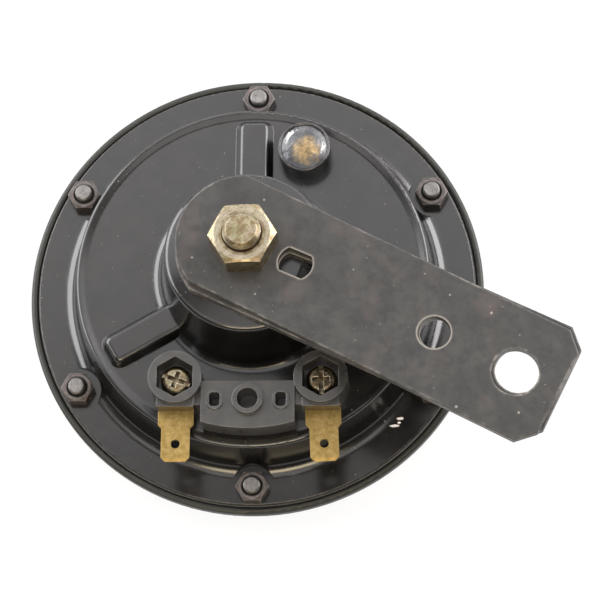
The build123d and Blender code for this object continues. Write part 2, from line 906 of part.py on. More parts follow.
with BuildPart() as terminal_nuts:
    for side in ("left", "right"):
        add(
            hexagon_nut(
                terminal_nut_level,
                terminal_nut_flats,
                terminal_nut_height,
                terminal_screw_radius + thread_gap,
                spot=terminal_spot(side),
            )
        )
save(terminal_nuts.part, "terminal_nuts")

with BuildPart() as terminal_gasket:
    with BuildSketch(plane_at(gasket_plate_level)):
        Circle(gasket_plate_outer)
        Circle(gasket_plate_inner, mode=Mode.SUBTRACT)
        with Locations((0, -gasket_plate_back)):
            Rectangle(
                2 * gasket_plate_half_length,
                gasket_plate_outer,
                align=(Align.CENTER, Align.MAX),
                mode=Mode.INTERSECT,
            )
        for side in ("left", "right"):
            spot = terminal_spot(side)
            with Locations((spot.X, spot.Y)):
                Circle(block_spigot_radius + slip_gap, mode=Mode.SUBTRACT)
    extrude(amount=gasket_plate_thickness)
save(terminal_gasket.part, "terminal_gasket")

# The tags' legs hang down towards the middle and hold the leads of the resistor between them.
resistor_level = tag_level - tag_leg_drop / 2
for side, toward_middle in (("left", 1), ("right", -1)):
    spot = terminal_spot(side)
    leg_x = -toward_middle * tag_leg_at
    with BuildPart() as tag:
        with BuildSketch(plane_at(tag_level)):
            with Locations((spot.X, spot.Y)):
                Circle(tag_radius)
            with BuildLine():
                Polyline(
                    (spot.X, spot.Y),
                    (leg_x, tag_leg_width / 2 - tag_leg_setback),
                    (leg_x, -tag_leg_width / 2 - tag_leg_setback),
                    (spot.X, spot.Y - tag_radius),
                    close=True,
                )
            make_face()
            with Locations((spot.X, spot.Y)):
                Circle(screw_passage, mode=Mode.SUBTRACT)
        extrude(amount=tag_thickness)
        with BuildSketch(plane_at(tag_level - tag_leg_drop)):
            with Locations((leg_x, -tag_leg_setback)):
                Rectangle(tag_thickness, tag_leg_width)
        extrude(amount=tag_leg_drop + tag_thickness)
        lead_plane = Plane(
            origin=horn.origin + Vector(leg_x, -tag_leg_setback, resistor_level),
            x_dir=(0, 1, 0),
            z_dir=(1, 0, 0),
        )
        with BuildSketch(lead_plane):
            Circle(resistor_lead_radius + thread_gap)
        extrude(amount=tag_thickness, both=True, mode=Mode.SUBTRACT)
    save(tag.part, f"contact_tag_{side}")

lead_half_length = tag_leg_at + resistor_lead_overhang
with BuildPart() as spark_resistor:
    resistor_plane = Plane(
        origin=horn.origin + Vector(0, -tag_leg_setback, resistor_level),
        x_dir=(0, 1, 0),
        z_dir=(1, 0, 0),
    )
    with BuildSketch(resistor_plane):
        Circle(resistor_radius)
    extrude(amount=resistor_half_length, both=True)
    chamfer(spark_resistor.edges().filter_by(GeomType.CIRCLE), resistor_end_chamfer)
    with BuildSketch(resistor_plane):
        Circle(resistor_lead_radius)
    extrude(amount=lead_half_length, both=True)
save(spark_resistor.part, "spark_resistor")

# ---- Magnet ----

with BuildPart() as pole_core:
    spin(
        [
            (0, core_foot_level),
            (core_radius, core_foot_level),
            (core_radius, boss_under_level),
            (stud_radius + thread_gap, boss_under_level),
            (stud_radius + thread_gap, stud_root_level - slip_gap),
            (0, stud_root_level - slip_gap),
        ]
    )
save(pole_core.part, "pole_core")

bobbin_bore = core_radius + slip_gap
bobbin_tube = bobbin_bore + bobbin_wall
bobbin_top_level = boss_level - bobbin_head_drop
lower_flange_level = deck_under_level + bobbin_flange
upper_flange_level = bobbin_top_level - bobbin_flange
with BuildPart() as coil_bobbin:
    spin(
        [
            (bobbin_bore, deck_under_level),
            (bobbin_flange_radius, deck_under_level),
            (bobbin_flange_radius, lower_flange_level),
            (bobbin_tube, lower_flange_level),
            (bobbin_tube, upper_flange_level),
            (bobbin_flange_radius, upper_flange_level),
            (bobbin_flange_radius, bobbin_top_level),
            (bobbin_hub_radius, bobbin_top_level),
            (bobbin_hub_radius, boss_under_level - slip_gap),
            (bobbin_bore, boss_under_level - slip_gap),
        ]
    )
save(coil_bobbin.part, "coil_bobbin")

winding_height = upper_flange_level - lower_flange_level - 2 * slip_gap
with BuildPart() as coil_winding:
    disc(lower_flange_level + slip_gap, winding_height, winding_radius, bobbin_tube + slip_gap)
save(coil_winding.part, "coil_winding")


def contact_plane(level):
    """Level plane on the horn's axis with its x towards the adjuster."""
    return plane_at(level, turn=adjuster_azimuth)


def rivet_cuts(level, height, radius):
    """Cut the holes of the two contact rivets."""
    with BuildSketch(contact_plane(level)) as holes:
        with Locations(*[(circle, 0) for circle in contact_rivet_circles]):
            Circle(radius)
    extrude(holes.sketch, amount=height, mode=Mode.SUBTRACT)


rivet_head_radius, rivet_head_height = contact_rivet_head
rivet_passage = contact_rivet_radius + slip_gap
plate_level = deck_under_level - plate_thickness
with BuildPart() as field_plate:
    disc(plate_level, plate_thickness, plate_radius, plate_bore)
    rivet_cuts(plate_level, plate_thickness, rivet_passage)
    rivet_cuts(
        deck_under_level - rivet_head_height - slip_gap,
        rivet_head_height + slip_gap,
        rivet_head_radius + slip_gap,
    )
save(field_plate.part, "field_plate")

# ---- Contact breaker ----


def contact_strip(level, thickness, ends, width):
    """Flat strip along the adjuster's azimuth, from one radius to another."""
    inner, outer = ends
    with BuildSketch(contact_plane(level)) as strip:
        with Locations(((inner + outer) / 2, 0)):
            RectangleRounded(outer - inner, width, contact_strip_round)
    extrude(strip.sketch, amount=thickness)


for insulator, level, thickness in (
    ("upper", upper_insulator_level, upper_insulator),
    ("middle", middle_insulator_level, middle_insulator),
    ("lower", lower_insulator_level, lower_insulator),
):
    with BuildPart() as insulator_plate:
        contact_strip(level, thickness, contact_insulator_ends, contact_insulator_width)
        rivet_cuts(level, thickness, rivet_passage)
    save(insulator_plate.part, f"contact_insulator_{insulator}")

contact_spot = turned_vector(contact_point_circle, adjuster_azimuth)
contact_height = middle_insulator / 2
for arm_name, level, sheet, ends, point_level in (
    ("moving_contact_arm", moving_arm_level, moving_arm_sheet, moving_arm_ends, moving_arm_level),
    ("fixed_contact_arm", fixed_arm_level, fixed_arm_sheet, fixed_arm_ends, middle_insulator_level),
):
    point_foot = min(point_level, middle_insulator_level + contact_height)
    with BuildPart() as contact_arm:
        contact_strip(level, sheet, ends, contact_arm_width)
        rivet_cuts(level, sheet, contact_rivet_radius + rivet_insulation_gap)
        disc(point_foot, contact_height, contact_point_radius, spot=contact_spot)
    save(contact_arm.part, arm_name)

rivet_top = deck_under_level - slip_gap
rivet_foot = lower_insulator_level - rivet_head_height
with BuildPart() as contact_rivets:
    for circle in contact_rivet_circles:
        rivet_spot = turned_vector(circle, adjuster_azimuth)
        spin(
            [
                (0, rivet_foot),
                (rivet_head_radius, rivet_foot),
                (rivet_head_radius, lower_insulator_level),
                (contact_rivet_radius, lower_insulator_level),
                (contact_rivet_radius, rivet_top - rivet_head_height),
                (rivet_head_radius, rivet_top - rivet_head_height),
                (rivet_head_radius, rivet_top),
                (0, rivet_top),
            ],
            spot=rivet_spot,
        )
save(contact_rivets.part, "contact_rivets")

# ---- Armature, its clamp on the diaphragm, and the tone disc ----

rear_washer_level = diaphragm_level + diaphragm_sheet
armature_foot_level = rear_washer_level + clamp_washer
armature_top_level = core_foot_level - armature_air_gap
armature_flange_top = moving_arm_level - armature_lift_gap
armature_flange_foot = armature_flange_top - armature_flange
shaft_bore = shaft_radius + thread_gap
shaft_top_level = armature_foot_level + shaft_in_armature
with BuildPart() as armature:
    spin(
        [
            (shaft_bore, armature_foot_level),
            (armature_radius, armature_foot_level),
            (armature_radius, armature_flange_foot),
            (armature_flange_radius, armature_flange_foot),
            (armature_flange_radius, armature_flange_top),
            (armature_radius, armature_flange_top),
            (armature_radius, armature_top_level),
            (0, armature_top_level),
            (0, shaft_top_level + slip_gap),
            (shaft_bore, shaft_top_level + slip_gap),
        ]
    )
save(armature.part, "armature")

with BuildPart() as armature_shaft:
    disc(shaft_foot_level, shaft_top_level - shaft_foot_level, shaft_radius)
    chamfer(armature_shaft.edges(), shaft_chamfer)
save(armature_shaft.part, "armature_shaft")

front_washer_level = diaphragm_level - clamp_washer
with BuildPart() as diaphragm_washers:
    for level in (rear_washer_level, front_washer_level):
        disc(level, clamp_washer, clamp_washer_radius, shaft_radius + slip_gap)
save(diaphragm_washers.part, "diaphragm_washers")

disc_mid_level = front_washer_level - tone_disc_sheet / 2
disc_rim_level = disc_mid_level - tone_disc_dish
with BuildPart() as tone_disc:
    spin_sheet(
        [
            (shaft_radius + slip_gap, disc_mid_level),
            (tone_disc_hub_radius, disc_mid_level),
            (tone_disc_hub_radius + tone_disc_dish_width, disc_rim_level),
            (tone_disc_radius, disc_rim_level),
        ],
        sheet=tone_disc_sheet,
    )
    rim_edges = tone_disc.edges().filter_by(GeomType.CIRCLE).sort_by(SortBy.RADIUS)[-2:]
    chamfer(rim_edges, tone_disc_edge)
save(tone_disc.part, "tone_disc")

save(
    hexagon_nut(
        front_washer_level - tone_disc_sheet - disc_nut_height,
        disc_nut_flats,
        disc_nut_height,
        shaft_bore,
    ),
    "tone_disc_nut",
)
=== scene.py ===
import json
from math import cos, pi, radians, sin

import bpy
from mathutils import Matrix, Vector


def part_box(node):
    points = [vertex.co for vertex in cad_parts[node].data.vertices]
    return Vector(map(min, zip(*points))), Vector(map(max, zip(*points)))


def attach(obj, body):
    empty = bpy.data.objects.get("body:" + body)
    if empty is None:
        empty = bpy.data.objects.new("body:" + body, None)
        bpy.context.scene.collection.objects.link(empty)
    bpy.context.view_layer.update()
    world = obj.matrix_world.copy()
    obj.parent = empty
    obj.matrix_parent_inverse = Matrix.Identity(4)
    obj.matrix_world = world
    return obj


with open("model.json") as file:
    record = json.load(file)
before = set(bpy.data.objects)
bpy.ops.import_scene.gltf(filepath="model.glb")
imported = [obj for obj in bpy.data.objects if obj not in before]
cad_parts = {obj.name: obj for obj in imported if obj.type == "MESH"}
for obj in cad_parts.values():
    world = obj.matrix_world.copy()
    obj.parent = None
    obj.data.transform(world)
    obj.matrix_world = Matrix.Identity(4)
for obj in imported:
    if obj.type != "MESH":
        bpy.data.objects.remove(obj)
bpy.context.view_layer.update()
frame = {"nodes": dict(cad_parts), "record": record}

# A vehicle's disc horn, lying on its sounding face with the terminals towards -Y.
# Lengths are in metres. The origin is the centre of the bracket's bolt hole.

nodes = frame["nodes"]
MM = 0.001

ring_low, ring_high = (Vector(corner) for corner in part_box("front_ring"))
HORN_AXIS = Vector(((ring_low.x + ring_high.x) / 2, (ring_low.y + ring_high.y) / 2, 0))
REST_HEIGHT = ring_low.z
LEAF_TURN = radians(-27.2)
RIM_SCREW_CIRCLE = 45.9 * MM
STUD_RADIUS = 4 * MM
STUD_PITCH = 1.25 * MM


def middle(node):
    """Centre of a node's box in plan, at height zero."""
    low, high = (Vector(corner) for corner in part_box(node))
    return Vector(((low.x + high.x) / 2, (low.y + high.y) / 2, 0))


def top(node):
    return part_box(node)[1][2]


def along_leaf(reach, across=0.0):
    """A spot on the bracket's upper leaf, measured from its bolt hole."""
    lengthwise = Vector((cos(LEAF_TURN), sin(LEAF_TURN), 0))
    sideways = Vector((-sin(LEAF_TURN), cos(LEAF_TURN), 0))
    return lengthwise * reach + sideways * across


def bearing(angle, height=0.0):
    """The direction at an angle from +X and a height over the floor, in degrees."""
    flat, rise = cos(radians(height)), sin(radians(height))
    return Vector((flat * cos(radians(angle)), flat * sin(radians(angle)), rise))


FLAKES = (  # x and y in millimetres, turn in degrees, half length and half width
    (-25.4, -0.5, 60.0, 0.75, 0.34),
    (-26.7, -2.2, 52.0, 1.15, 0.3),
    (-25.7, -1.5, 20.0, 0.4, 0.24),
)
RIM_SCREWS = [HORN_AXIS + RIM_SCREW_CIRCLE * bearing(angle) for angle in range(30, 390, 60)]
ROUND_HOLE = along_leaf(-19.3 * MM)
SLOT = along_leaf(-53.1 * MM, 0.4 * MM)


# ---------------------------------------------------------------- finishes
class Signal:
    """A shader socket that takes part in plain arithmetic."""

    def __init__(self, finish, socket):
        self.finish, self.socket = finish, socket

    def maths(self, operation, *values):
        values = dict(enumerate(values))
        return self.finish.node("ShaderNodeMath", {"operation": operation}, values)

    def __add__(self, other):
        return self.maths("ADD", self, other)

    def __radd__(self, other):
        return self.maths("ADD", other, self)

    def __sub__(self, other):
        return self.maths("SUBTRACT", self, other)

    def __rsub__(self, other):
        return self.maths("SUBTRACT", other, self)

    def __mul__(self, other):
        return self.maths("MULTIPLY", self, other)

    def most(self, other):
        return self.maths("MAXIMUM", self, other)

    def least(self, other):
        return self.maths("MINIMUM", self, other)

    def between(self, low, high):
        """0 at low, 1 at high, and straight in between; low may be the larger."""
        inputs = {"Value": self, "From Min": low, "From Max": high}
        return self.finish.node("ShaderNodeMapRange", {"clamp": True}, inputs)


class Finish:
    """One material and the few ways in which its nodes are made."""

    def __init__(self, name):
        self.material = bpy.data.materials.new(name)
        self.material.use_nodes = True
        self.tree = self.material.node_tree
        self.tree.nodes.clear()
        self.place = self.node("ShaderNodeTexCoord", out="Object")

    def node(self, kind, settings=None, inputs=None, out=0):
        """A new shader node with its inputs set or joined; gives one of its outputs."""
        made = self.tree.nodes.new(kind)
        for name, value in (settings or {}).items():
            setattr(made, name, value)
        for name, value in (inputs or {}).items():
            if isinstance(value, Signal):
                self.tree.links.new(value.socket, made.inputs[name])
            else:
                made.inputs[name].default_value = value
        return Signal(self, made.outputs[out])

    def vector_maths(self, operation, *values, out=0):
        values = dict(enumerate(values))
        return self.node("ShaderNodeVectorMath", {"operation": operation}, values, out)

    def moved(self, centre=(0, 0, 0), turn=0.0, stretch=(1, 1, 1)):
        """Object coordinates about a centre, turned about Z and stretched."""
        shifted = self.vector_maths("SUBTRACT", self.place, centre)
        turned = {"Vector": shifted, "Rotation": (0, 0, -turn), "Scale": stretch}
        return self.node("ShaderNodeMapping", None, turned)

    def length(self, vector):
        return self.vector_maths("LENGTH", vector, out="Value")

    def radius(self, centre):
        """Distance in plan from an upright axis."""
        return self.length(self.vector_maths("MULTIPLY", self.moved(centre), (1, 1, 0)))

    def noise(self, size, detail=2.0, roughness=0.5, place=None):
        """Cloudy pattern about 0.5, with features of about the given size."""
        inputs = {"Vector": place or self.place, "Scale": 1 / size}
        inputs |= {"Detail": detail, "Roughness": roughness}
        return self.node("ShaderNodeTexNoise", None, inputs)

    def hammered(self, size):
        """Height of shallow dents that meet in sharp ridges."""
        inputs = {"Vector": self.place, "Scale": 1 / size}
        return self.node("ShaderNodeTexVoronoi", None, inputs)

    def specks(self, spacing, size, share):
        """1 inside scattered round specks in plan, of which only a share is kept."""
        flat = {"voronoi_dimensions": "2D"}
        inputs = {"Vector": self.place, "Scale": 1 / spacing}
        away = self.node("ShaderNodeTexVoronoi", flat, inputs, "Distance")
        colour = self.node("ShaderNodeTexVoronoi", flat, inputs, "Color")
        pick = self.node("ShaderNodeSeparateColor", None, {0: colour}, 0)
        size_pick = self.node("ShaderNodeSeparateColor", None, {0: colour}, 1)
        edge = (0.45 + size_pick * 0.75) * (size / spacing)
        return away.between(edge, edge * 0.5) * pick.between(share + 0.01, share)

    def facing_up(self):
        """1 on surfaces that look up, 0 on walls."""
        normal = self.node("ShaderNodeNewGeometry", out="Normal")
        return self.node("ShaderNodeSeparateXYZ", None, {0: normal}, 2).between(0.6, 0.85)

    def edges(self, reach):
        """1 along convex edges, fading out over the reach."""
        inwards = {"inside": True, "only_local": True, "samples": 8}
        open_share = self.node(
            "ShaderNodeAmbientOcclusion", inwards, {"Distance": reach}, "AO"
        )
        return open_share.between(0.93, 0.6)

    def corners(self, reach):
        """1 in tight corners and gaps, fading out over the reach."""
        open_share = self.node(
            "ShaderNodeAmbientOcclusion", {"samples": 8}, {"Distance": reach}, "AO"
        )
        return open_share.between(0.75, 0.2)

    def mix(self, mask, under, over):
        inputs = {"Factor": mask, 6: under, 7: over}
        return self.node("ShaderNodeMix", {"data_type": "RGBA"}, inputs, 2)

    def layered(self, colour, *layers):
        """A colour with others laid over it in turn, each given as a mask and a colour."""
        for mask, over in layers:
            colour = self.mix(mask, colour, over)
        return colour

    def rounded(self, radius):
        """A normal that is rounded over sharp edges."""
        return self.node("ShaderNodeBevel", {"samples": 6}, {"Radius": radius})

    def bump(self, height, depth, normal=None):
        inputs = {"Height": height, "Distance": depth, "Strength": 1.0}
        if normal:
            inputs["Normal"] = normal
        return self.node("ShaderNodeBump", None, inputs)

    def surface(self, colour, roughness, normal, **others):
        inputs = {"Base Color": colour, "Roughness": roughness, "Normal": normal, **others}
        self.show(self.node("ShaderNodeBsdfPrincipled", None, inputs))
        return self.material

    def show(self, shader):
        output = self.tree.nodes.new("ShaderNodeOutputMaterial")
        self.tree.links.new(shader.socket, output.inputs["Surface"])


def grey(value, warm=0.0):
    return (value * (1 + warm), value, value * (1 - warm), 1)


def chips(f):
    """A few flakes gone from the flange, down to the pale primer."""
    ragged = f.noise(0.9 * MM, 3, 0.7)
    found = None
    for x, y, turn, long, wide in FLAKES:
        stretch = (1 / (long * MM), 1 / (wide * MM), 0)
        here = f.moved(Vector((x, y, 0)) * MM, radians(turn), stretch)
        flake = (f.length(here) + (ragged - 0.5) * 1.2).between(1.05, 0.9)
        found = flake if found is None else found.most(flake)
    return found * f.facing_up()


def black_paint():
    """Stoved black over pressed steel: fine orange peel, a dusty film on top, rubbed edges that
    are painted lighter also as a highlight line.
    """
    f = Finish("black_paint")
    cloud = f.noise(9 * MM, 3)
    film = f.noise(5 * MM, 6, 0.72)
    peel = f.noise(0.6 * MM, 2)
    wave = f.noise(4 * MM, 2)
    worn = f.edges(0.5 * MM) * f.noise(1.3 * MM, 3).between(0.35, 0.65)
    coarse, fine = f.specks(6 * MM, 0.22 * MM, 0.25), f.specks(2.9 * MM, 0.1 * MM, 0.22)
    dust = coarse.most(fine) * f.facing_up()
    grime = f.corners(1.5 * MM) * f.noise(3 * MM, 3).between(0.4, 0.7)
    colour = f.layered(
        grey(0.0035),
        (cloud.between(0.3, 0.7), grey(0.0055, 0.08)),
        (film.between(0.3, 0.75) * f.facing_up() * 0.3, (0.042, 0.038, 0.038, 1)),
        (grime * 0.3, grey(0.016, 0.25)),
        # worn: rubbed edges, painted lighter also as a highlight line along every edge
        (worn * 0.22, (0.21, 0.185, 0.175, 1)),
        (dust * 0.4, (0.24, 0.22, 0.21, 1)),
        (chips(f), (0.72, 0.68, 0.66, 1)),
    )
    rough = 0.15 + cloud * 0.05 + film * 0.06 + dust * 0.3 + grime * 0.2
    normal = f.bump(peel * 0.3 + wave * 0.7, 0.018 * MM, f.rounded(0.35 * MM))
    return f.surface(colour, rough, normal, IOR=1.7)


def ring_paint():
    """Thinner black on the front ring, olive where it has rubbed."""
    f = Finish("ring_paint")
    cloud = f.noise(6 * MM, 3)
    worn = f.edges(0.5 * MM) * f.noise(1.6 * MM, 3).between(0.35, 0.7)
    colour = f.layered(
        (0.0100, 0.0105, 0.0075, 1),
        (cloud.between(0.3, 0.7), (0.0150, 0.0150, 0.0110, 1)),
        (worn * 0.35, grey(0.08, 0.15)),
    )
    normal = f.bump(f.noise(0.5 * MM), 0.02 * MM, f.rounded(0.15 * MM))
    return f.surface(colour, 0.4 + cloud * 0.12, normal, IOR=1.5)


def bracket_paint():
    """Flat grey-black coat on rolled strip: mottled, dusty, rubbed bright along the edges."""
    f = Finish("bracket_paint")
    cloud = f.noise(8 * MM, 4, 0.6)
    blotch = f.noise(3.2 * MM, 5, 0.7)
    patch = f.noise(11 * MM, 3, place=f.moved((0.021, 0.013, 0)))
    stain = f.noise(9 * MM, 3, place=f.moved((0.04, 0.02, 0)))
    grain = f.noise(0.4 * MM, 3, 0.6)
    ragged = f.noise(1.3 * MM, 3)
    edge = f.edges(0.6 * MM)
    round_rim = f.radius(ROUND_HOLE).between(4.6 * MM, 3.9 * MM)
    slot_rim = f.radius(SLOT).between(4.9 * MM, 3.9 * MM)
    patchy = cloud.between(0.5, 0.6) * ragged.between(0.3, 0.5)
    worn = edge * ragged.between(0.36, 0.58)
    rubbed = edge * patchy.most(round_rim.most(slot_rim))
    coarse, fine = f.specks(7 * MM, 0.34 * MM, 0.3), f.specks(2.9 * MM, 0.13 * MM, 0.18)
    dust = coarse.most(fine) * f.facing_up()
    colour = f.layered(
        (0.021, 0.021, 0.020, 1),
        (cloud.between(0.32, 0.68), (0.040, 0.038, 0.037, 1)),
        (blotch.between(0.44, 0.62) * 0.6, (0.010, 0.010, 0.010, 1)),
        (patch.between(0.55, 0.7) * 0.55, (0.074, 0.055, 0.053, 1)),
        (stain.between(0.56, 0.72) * 0.4, (0.036, 0.041, 0.034, 1)),
        (grain.between(0.5, 0.75) * 0.35, (0.062, 0.057, 0.054, 1)),
        (worn * 0.4, (0.17, 0.155, 0.14, 1)),
        (rubbed * 0.6, (0.34, 0.31, 0.28, 1)),
        (dust * 0.5, (0.36, 0.32, 0.30, 1)),
    )
    normal = f.bump(grain * 0.4 + ragged * 0.6, 0.03 * MM, f.rounded(0.25 * MM))
    return f.surface(colour, 0.28 + blotch * 0.28 + dust * 0.3, normal)


def plated(name, light, deep, dull, rough, dents=0.06 * MM, blotch=1.6 * MM):
    """Plated or bare metal: a light and a deep tone in blotches, darker and duller in the
    corners.
    """
    f = Finish(name)
    cloud = f.noise(blotch, 4)
    fine = f.noise(blotch / 4, 3, 0.6)
    # film: darker, duller and less metallic in corners and gaps
    film = f.corners(1.2 * MM)
    worn = f.edges(0.35 * MM)
    colour = f.layered(
        light,
        (cloud.between(0.35, 0.65), deep),
        (fine.between(0.55, 0.7) * 0.55, dull),
        (film * 0.7, dull),
        (worn * 0.45, light),
    )
    roughness = rough + fine * 0.2 + film * 0.2 - worn * 0.1
    normal = f.bump(cloud * 0.6 + fine * 0.4, dents, f.rounded(0.15 * MM))
    return f.surface(colour, roughness, normal, Metallic=1.0 - film * 0.35)


def chromated_zinc(name, dents=0.15 * MM, facets=0.0, rough=0.32):
    """Yellow-passivated zinc: dents, facets if wanted, a ring worn where a tool bears on it,
    painted shade in corners and slots.
    """
    f = Finish(name)
    cloud = f.noise(1.5 * MM, 4, 0.6)
    fine = f.noise(0.4 * MM, 3, 0.6)
    tint = f.noise(2.3 * MM, 3)
    green = f.noise(1.9 * MM, 3, place=f.moved((0.01, 0.03, 0)))
    # film: painted shade, darker and less metallic in corners and the screws' slots
    film = f.corners(1.3 * MM)
    away = f.radius(middle("mounting_stud"))
    tool_ring = away.between(4.9 * MM, 5.2 * MM) * away.between(6.3 * MM, 6.0 * MM)
    tool_ring = tool_ring * f.facing_up()
    worn = f.edges(0.4 * MM).most(tool_ring * fine.between(0.35, 0.5))
    colour = f.layered(
        (0.37, 0.32, 0.215, 1),
        (cloud.between(0.42, 0.58), (0.215, 0.16, 0.085, 1)),
        (tint.between(0.5, 0.66) * 0.5, (0.30, 0.22, 0.19, 1)),
        (green.between(0.52, 0.66) * 0.5, (0.255, 0.27, 0.155, 1)),
        (fine.between(0.54, 0.68) * 0.6, (0.09, 0.06, 0.03, 1)),
        (worn * 0.5, (0.56, 0.51, 0.41, 1)),
        (film * 0.8, (0.10, 0.065, 0.04, 1)),
    )
    roughness = rough + fine * 0.18 + film * 0.2 - worn * 0.08
    normal = f.bump(cloud * 0.6 + fine * 0.4, dents, f.rounded(0.18 * MM))
    if facets:
        normal = f.bump(f.hammered(2.3 * MM), facets, normal)
    return f.surface(colour, roughness, normal, Metallic=1.0 - film * 0.3)


def bright_brass():
    """The adjusting screw's brass, bright with tool marks; resin covers its head."""
    f = Finish("bright_brass")
    cloud = f.noise(1.1 * MM, 3)
    colour = f.mix(cloud.between(0.4, 0.6), (0.80, 0.55, 0.22, 1), (0.55, 0.38, 0.2, 1))
    normal = f.bump(f.hammered(1.3 * MM) * 0.7 + cloud * 0.3, 0.5 * MM)
    return f.surface(colour, 0.2 + cloud * 0.2, normal, Metallic=1.0)


def rusty_plating():
    """Zinc gone dull: dark pinkish-grey oxide, rust in patches, rubbed chamfers on the nuts,
    painted shade near black round the screws and in corners.
    """
    f = Finish("rusty_plating")
    cloud = f.noise(1.1 * MM, 4)
    fine = f.noise(0.3 * MM, 3)
    rust = f.noise(2.2 * MM, 4).between(0.48, 0.66)
    # film: painted shade, darker in tight corners
    film = f.corners(1.2 * MM)
    away = f.radius(RIM_SCREWS[0])
    for spot in RIM_SCREWS[1:]:
        away = away.least(f.radius(spot))
    # gap_shade: painted shade, the ring round each screw where its bore lies open
    gap_shade = away.between(1.4 * MM, 1.6 * MM) * away.between(2.45 * MM, 2.25 * MM)
    chamfer = away.between(2.4 * MM, 2.65 * MM) * away.between(3.1 * MM, 2.8 * MM)
    colour = f.layered(
        (0.026, 0.024, 0.023, 1),
        (cloud.between(0.35, 0.65), (0.060, 0.054, 0.051, 1)),
        (rust * 0.6, (0.050, 0.026, 0.018, 1)),
        (f.edges(0.5 * MM) * 0.6, (0.27, 0.235, 0.225, 1)),
        (chamfer * fine.between(0.3, 0.6) * 0.5, (0.28, 0.235, 0.225, 1)),
        # painted shade: near black round the screws and in tight corners
        (gap_shade.most(film) * 0.9, (0.012, 0.010, 0.009, 1)),
    )
    roughness = 0.42 + rust * 0.3 + fine * 0.1
    normal = f.bump(cloud * 0.5 + fine * 0.5, 0.1 * MM, f.rounded(0.2 * MM))
    return f.surface(colour, roughness, normal, Metallic=(1.0 - rust) * 0.4)


def moulded_plastic():
    """Black moulding that has greyed, slightly uneven from its mould."""
    f = Finish("moulded_plastic")
    cloud = f.noise(3 * MM, 3)
    grain = f.noise(0.25 * MM, 2)
    pale = f.edges(0.45 * MM) * cloud.between(0.3, 0.7)
    dust = f.specks(2.6 * MM, 0.1 * MM, 0.3) * f.facing_up()
    colour = f.layered(
        grey(0.021, 0.07),
        (cloud.between(0.3, 0.7), grey(0.034, 0.07)),
        (pale * 0.4, grey(0.12, 0.08)),
        (dust * 0.5, grey(0.25, 0.05)),
    )
    normal = f.bump(grain * 0.4 + cloud * 0.6, 0.04 * MM, f.rounded(0.2 * MM))
    return f.surface(colour, 0.24 + cloud * 0.1 + dust * 0.3, normal, IOR=1.75)


def sealing_resin():
    """Aged resin over the adjuster: smoky, with the brass screw and its glints painted near its
    middle, and painted highlight streaks at its rim.
    """
    f = Finish("sealing_resin")
    cloud = f.noise(2.2 * MM, 3)
    fine = f.noise(1.5 * MM, 5, 0.7)
    centre = middle("sealing_resin")

    def near(x, y, reach):
        """1 inside a ragged blot, given in millimetres from the resin's centre."""
        away = f.radius(centre + Vector((x, y, 0)) * MM) + (cloud - 0.5) * 3.4 * MM
        return away.between(reach * MM, (reach - 1.5) * MM)

    away = f.radius(centre)
    rim = away.between(3.7 * MM, 4.1 * MM) * away.between(5.1 * MM, 4.7 * MM)
    # painted highlights: pale streaks on the rim at the upper left and at the right
    highlight_spots = near(-3.0, 2.6, 2.6).most(near(3.6, -0.6, 1.7))
    highlight_streaks = rim * highlight_spots * fine.between(0.45, 0.55)
    # the brass screw seen through the resin, painted on with painted glints in amber and umber
    amber, umber = (0.34, 0.235, 0.105, 1), (0.085, 0.060, 0.036, 1)
    brass_and_glints = f.mix(fine.between(0.38, 0.62), amber, umber)
    colour = f.layered(
        (0.030, 0.033, 0.042, 1),
        (cloud.between(0.35, 0.65), (0.075, 0.075, 0.082, 1)),
        (near(0.5, -1.0, 3.5), brass_and_glints),
        (highlight_streaks * 0.8, (0.8, 0.8, 0.78, 1)),
    )
    normal = f.bump(cloud * 0.7 + fine * 0.3, 0.5 * MM)
    return f.surface(colour, 0.14 + fine * 0.1, normal, IOR=1.55)


def plain_stock(name, light, dark, rough, size, metal=0.0, depth=0.02 * MM):
    """Plain inner stock: fibre, gasket card, ceramic, enamelled wire."""
    f = Finish(name)
    cloud = f.noise(size, 4)
    fine = f.noise(size / 5, 3)
    colour = f.mix(cloud.between(0.3, 0.7), dark, light)
    normal = f.bump(cloud * 0.5 + fine * 0.5, depth, f.rounded(0.1 * MM))
    return f.surface(colour, rough + fine * 0.1, normal, Metallic=metal)


# Light, deep and dull tones.
bare_steel = ((0.26, 0.25, 0.24, 1), (0.17, 0.16, 0.155, 1), (0.07, 0.06, 0.052, 1))
brass_strip = ((0.37, 0.262, 0.100, 1), (0.26, 0.175, 0.058, 1), (0.12, 0.078, 0.026, 1))
# Light and dark tones.
enamel = ((0.5, 0.2, 0.08, 1), (0.33, 0.12, 0.05, 1))
fibre = ((0.2, 0.11, 0.06, 1), (0.12, 0.065, 0.035, 1))
card = (grey(0.09), grey(0.06))
spring = (grey(0.42), grey(0.3))
ceramic = ((0.5, 0.45, 0.38, 1), (0.42, 0.37, 0.3, 1))

